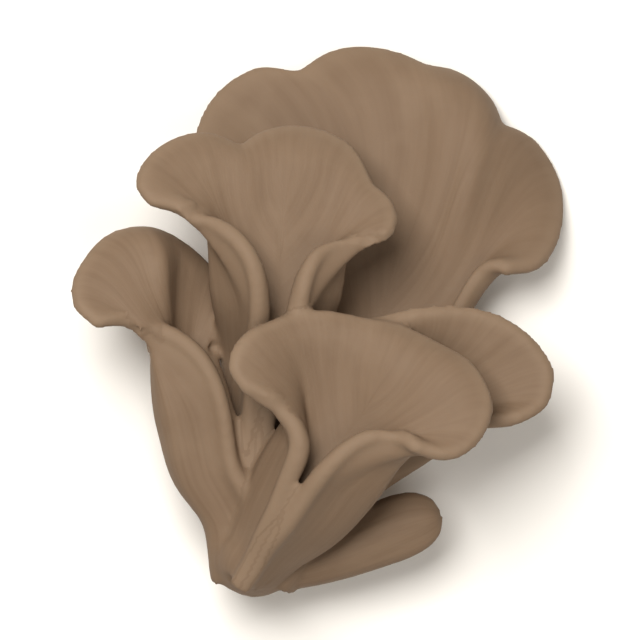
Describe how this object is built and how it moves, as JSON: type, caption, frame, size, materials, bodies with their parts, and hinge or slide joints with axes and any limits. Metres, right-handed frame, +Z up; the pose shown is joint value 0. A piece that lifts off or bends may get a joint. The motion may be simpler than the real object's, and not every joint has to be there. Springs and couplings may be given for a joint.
{
  "type": "maitake mushroom cluster",
  "caption": "Fresh maitake mushroom cluster lying on its back: fused foot, split stems with rolled lips, and broad lobed caps spreading like petals.",
  "frame": {"origin": "centre of the bounding box's bottom face, on the surface that the cluster lies on", "axes": "+Y from the foot to the tip of the largest fan, +Z up from the surface, +X to the right across the caps"},
  "size_m": [0.059, 0.0666, 0.028],
  "materials": {
    "mushroom_cluster": "matte, dry and faintly velvety"
  },
  "bodies": {
    "root": {"mushroom_cluster": "mushroom_cluster"}
  },
  "joints": []
}
